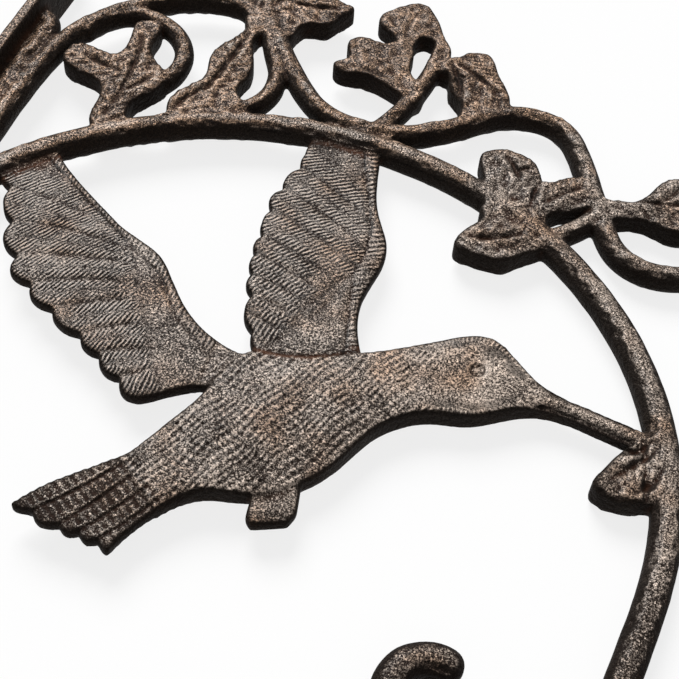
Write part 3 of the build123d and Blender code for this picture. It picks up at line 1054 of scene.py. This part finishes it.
@dataclass
class Casting:
    """The whole casting: plate, rail, ring arm, hook, vine, leaves and bird in one piece.

    Args:
        finish, carving: the finish it takes, and its relief.
        name: the piece's name.
        voxel: the width of the cells that the solid is cast anew in, in metres.
        rounding: how many smoothing rounds soften its edges and inner corners.
        lump, lump_height: the width and the height of the mould's unevenness in mm.
        hammer, hammer_height: the width and the height of the leaves' dents in mm.
        near_rounds, far_rounds: how many rounds smooth away the carved lines, and then the forms.
        rim_rounds: how many rounds spread the painted shade on the rims.
        line_depth, bay_depth: the depths in mm at which a carved line and a recess count in full.
        triangles: how many triangles are kept.
    """

    finish: CastIron = field(default_factory=CastIron)
    carving: Carving = field(default_factory=Carving)
    name: str = "bracket_casting"
    voxel: float = 0.42 * MM
    rounding: int = 14
    lump: float = 7.0
    lump_height: float = 0.14
    hammer: float = 2.7
    hammer_height: float = 0.6
    near_rounds: int = 8
    far_rounds: int = 45
    rim_rounds: int = 30
    line_depth: float = 0.2
    bay_depth: float = 0.6
    triangles: int = 195000

    def recast(self) -> bpy.types.Object:
        """Casts the CAD solid anew in fine even cells.

        Returns:
            the new object.
        """
        piece = linked(self.name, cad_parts[NODE].data.copy())
        weld = piece.modifiers.new("weld", "WELD")
        weld.merge_threshold = 0.001 * MM
        cells = piece.modifiers.new("cells", "REMESH")
        cells.mode = "VOXEL"
        cells.voxel_size = self.voxel
        self.apply(piece)
        return piece

    def apply(self, piece: bpy.types.Object) -> None:
        """Turns the modifiers of a piece into its mesh.

        Args:
            piece: the casting.
        """
        scene_graph = bpy.context.evaluated_depsgraph_get()
        mesh = bpy.data.meshes.new_from_object(piece.evaluated_get(scene_graph))
        piece.modifiers.clear()
        piece.data = mesh

    def soften(self, piece: bpy.types.Object) -> None:
        """Rounds the edges and fills the inner corners as a sand mould does.

        Args:
            piece: the casting, in even cells.
        """
        mesh = piece.data
        points = relaxed(mesh_points(mesh), mesh_edges(mesh), self.rounding)
        self.place(mesh, points)

    def place(self, mesh: bpy.types.Mesh, points: np.ndarray) -> None:
        """Moves the mesh's points, but not out of the CAD box.

        Args:
            mesh: the casting's mesh.
            points: rows of places in metres.
        """
        low, high = (np.array(corner) for corner in CAD_BOX)
        mesh.vertices.foreach_set("co", np.clip(points, low, high).astype(np.float32).ravel())
        mesh.update()

    def carve(self, piece: bpy.types.Object) -> None:
        """Sinks the relief into both faces and leaves the whole a little uneven, as a sand mould does.

        Args:
            piece: the casting, softened.
        """
        mesh = piece.data
        points = mesh_points(mesh) / MM
        normals = mesh_points(mesh, "normal")
        plan = Plan(points, normals)
        mirrored = np.abs(points) * [1.0, 0.4, 1.0]
        height = relaxed(self.carving.height(plan), mesh_edges(mesh), 1)
        height += self.hammer_height * self.carving.zones(plan)["leaf"] * lumps(mirrored, self.hammer)
        uneven = self.lump_height * lumps(mirrored, self.lump)
        points = points + normals * uneven[:, None]
        points[:, 1] += np.sign(points[:, 1]) * height
        self.place(mesh, points * MM)

    def thin(self, piece: bpy.types.Object) -> None:
        """Keeps the triangles that the shape needs.

        Args:
            piece: the casting.
        """
        mesh = piece.data
        faces = sum(len(polygon.vertices) - 2 for polygon in mesh.polygons)
        fewer = piece.modifiers.new("fewer", "DECIMATE")
        fewer.ratio = min(1.0, self.triangles / faces)
        fewer.use_collapse_triangulate = True
        self.apply(piece)
        self.place(piece.data, mesh_points(piece.data))

    def mark(self, piece: bpy.types.Object) -> None:
        """Gives the mesh its values for hollows, crests, recesses and rims: the finish paints shade into
        the hollows, the recesses and the rims, and lightens the crests.

        Args:
            piece: the casting.
        """
        mesh = piece.data
        edges = mesh_edges(mesh)
        points = mesh_points(mesh) / MM
        normals = mesh_points(mesh, "normal")
        near = relaxed(points, edges, self.near_rounds)
        far = relaxed(near, edges, self.far_rounds)
        dip = np.einsum("ij,ij->i", near - points, normals)
        bay = np.einsum("ij,ij->i", far - points, normals)
        # Carved lines and pits, which the finish darkens as painted shade
        self.write(mesh, "hollow", np.clip(dip / self.line_depth, 0.0, 1.0))
        self.write(mesh, "crest", np.clip(-dip / self.line_depth, 0.0, 1.0))
        rust_and_shade = self.carving.rust_and_shade(Plan(points, normals))
        # Recesses and seams: rusty red with painted shade
        recess = np.clip((bay - 1.6 * np.maximum(dip, 0.0)) / self.bay_depth, 0.0, 1.0)
        self.write(mesh, "recess", np.maximum(recess, rust_and_shade))
        # How square the faces are round each point, which paints shade on the rounded rims
        self.write(mesh, "inner", relaxed(np.abs(normals[:, 1]), edges, self.rim_rounds))

    def score(self, piece: bpy.types.Object) -> None:
        """Gives the mesh the counts of its fine barbs and scales, how much lighter or darker each part is
        made, and its warmth.

        Args:
            piece: the casting, with its last points.
        """
        mesh = piece.data
        plan = Plan(mesh_points(mesh) / MM, mesh_points(mesh, "normal"))
        count, depth = self.carving.barbs(plan)
        row, column, down = self.carving.body.scales(plan)
        self.write(mesh, "row", row)
        self.write(mesh, "column", column)
        self.write(mesh, "down", down * plan.face * (plan.level > self.carving.body.level))
        self.write(mesh, "tone_by_part", self.carving.tone_by_part(plan))
        self.write(mesh, "warmth", self.carving.warmth(plan))
        self.write(mesh, "barb", count)
        self.write(mesh, "barb_depth", depth)

    def write(self, mesh: bpy.types.Mesh, name: str, value: np.ndarray) -> None:
        """Writes one value for each point of a mesh."""
        layer = mesh.attributes.new(name, "FLOAT", "POINT")
        layer.data.foreach_set("value", value.astype(np.float32))

    def build(self) -> bpy.types.Object:
        """Makes the piece and dresses it.

        Returns:
            the casting.
        """
        piece = self.recast()
        self.soften(piece)
        self.carve(piece)
        self.mark(piece)
        self.thin(piece)
        self.score(piece)
        piece.data.polygons.foreach_set("use_smooth", np.ones(len(piece.data.polygons), bool))
        self.dress(piece)
        return piece

    def dress(self, piece: bpy.types.Object) -> None:
        """Gives the piece its finish and its place in the frame.

        Args:
            piece: the casting.
        """
        piece.data.materials.clear()
        piece.data.materials.append(self.finish.material())
        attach(piece, BODY)
        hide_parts(NODE)


@dataclass(frozen=True)
class Table:
    """A plain white table behind the casting, which rests on its plate and on the back of its arm.

    Args:
        plate_touch: X and Y in metres where the plate's edge rests.
        arm_touch: X and Y in metres where the arm's back rests.
        reach: half the table's width in metres.
        white: its colour.
        backlight: how much of its white is its own light, which leaves the shadows pale.
    """

    plate_touch: Point = (0.002, 0.0087)
    arm_touch: Point = (0.231, 0.0044)
    reach: float = 2.5
    white: float = 0.96
    backlight: float = 0.8

    def build(self) -> None:
        """Makes the table top, which only the eye and the gloss see, and only from the front."""
        slope = (self.arm_touch[1] - self.plate_touch[1]) / (self.arm_touch[0] - self.plate_touch[0])
        corners = []
        for x, z in ((-1, -1), (1, -1), (1, 1), (-1, 1)):
            across = self.reach * x
            depth = self.plate_touch[1] + slope * (across - self.plate_touch[0])
            corners.append((across, depth, self.reach * z))
        mesh = bpy.data.meshes.new("table")
        mesh.from_pydata(corners, [], [(0, 1, 2, 3)])
        mesh.materials.append(self.material())
        linked("table", mesh)

    def material(self) -> bpy.types.Material:
        """Makes the white top.

        Returns:
            the material.
        """
        made = bpy.data.materials.new("white_table")
        made.use_nodes = True
        shader = Shader(made.node_tree)
        front = 1.0 - shader.out(shader.node("ShaderNodeNewGeometry"), "Backfacing")
        shade = opaque((self.white, self.white, self.white))
        paper = shader.node("ShaderNodeBsdfDiffuse", None, {"Color": shade})
        lit = shader.node("ShaderNodeEmission", None, {"Color": WHITE, "Strength": 1.0})
        sheet = shader.node(
            "ShaderNodeMixShader",
            None,
            {0: self.backlight, 1: shader.out(paper), 2: shader.out(lit)},
        )
        clear = shader.node("ShaderNodeBsdfTransparent")
        surface = shader.node(
            "ShaderNodeMixShader",
            None,
            {0: shader.seen() * front, 1: shader.out(clear), 2: shader.out(sheet)},
        )
        shader.node("ShaderNodeOutputMaterial", None, {"Surface": shader.out(surface)})
        return made


@dataclass(frozen=True)
class Lamp:
    """A broad soft lamp, far away.

    Args:
        name: its name.
        side: the direction from the object to it.
        level: how bright it makes a white sheet that faces it, where 1 is white.
        width: how wide it looks from the object, in degrees.
    """

    name: str
    side: RGB
    level: float
    width: float

    def build(self) -> None:
        """Makes the lamp."""
        light = bpy.data.lights.new(self.name, "SUN")
        light.energy = self.level * math.pi
        light.angle = math.radians(self.width)
        lamp = linked(self.name, light)
        lamp.rotation_euler = Vector(self.side).to_track_quat("Z", "Y").to_euler()


@dataclass(frozen=True)
class Studio:
    """The room's light.

    Args:
        lamps: the soft lamps.
        glow: how bright the room is all round.
    """

    lamps: tuple[Lamp, ...] = (
        Lamp("window_above", (-0.40, -0.66, 0.64), 1.06, 36.0),
        Lamp("fill_behind", (-0.10, 0.90, 0.42), 0.55, 60.0),
    )
    glow: float = 0.30

    def build(self) -> None:
        """Makes the lamps and the room."""
        for lamp in self.lamps:
            lamp.build()
        room = bpy.data.worlds.new("white_room")
        room.use_nodes = True
        shader = Shader(room.node_tree)
        white = shader.out(shader.node("ShaderNodeBackground", None, {"Color": WHITE, "Strength": 1.0}))
        dim = shader.out(shader.node("ShaderNodeBackground", None, {"Color": WHITE, "Strength": self.glow}))
        both = shader.node("ShaderNodeMixShader", None, {0: shader.seen(), 1: dim, 2: white})
        shader.node("ShaderNodeOutputWorld", None, {"Surface": shader.out(both)})
        bpy.context.scene.world = room


@dataclass(frozen=True)
class PhotoCamera:
    """The camera of the photograph.

    Args:
        place: where it stands, in metres.
        ahead: the direction it looks in.
        top: the direction of the picture's top.
        focal_pixels: its focal length in the picture's pixels.
    """

    place: RGB = (0.18798, -0.27194, -0.22265)
    ahead: RGB = (-0.1439, 0.7715, 0.6198)
    top: RGB = (-0.2588, -0.6338, 0.7289)
    focal_pixels: float = 1300.0

    def build(self) -> None:
        """Makes the camera and chooses it."""
        lens = bpy.data.cameras.new("photo_camera")
        lens.sensor_width = SENSOR_WIDTH
        lens.lens = SENSOR_WIDTH * self.focal_pixels / PICTURE_PIXELS
        lens.clip_start = 0.01
        camera = linked("photo_camera", lens)
        back = -Vector(self.ahead).normalized()
        right = Vector(self.top).cross(back).normalized()
        above = back.cross(right)
        turn = Matrix((right, above, back)).transposed()
        camera.matrix_world = Matrix.Translation(self.place) @ turn.to_4x4()
        bpy.context.scene.camera = camera


def main() -> None:
    """Builds the picture: camera, table, light and casting."""
    bpy.context.scene.view_settings.view_transform = "Standard"
    PhotoCamera().build()
    Table().build()
    Studio().build()
    piece = Casting().build()
    LOG.info("%s: %d triangles", piece.name, len(piece.data.polygons))


if __name__ == "__main__":
    main()
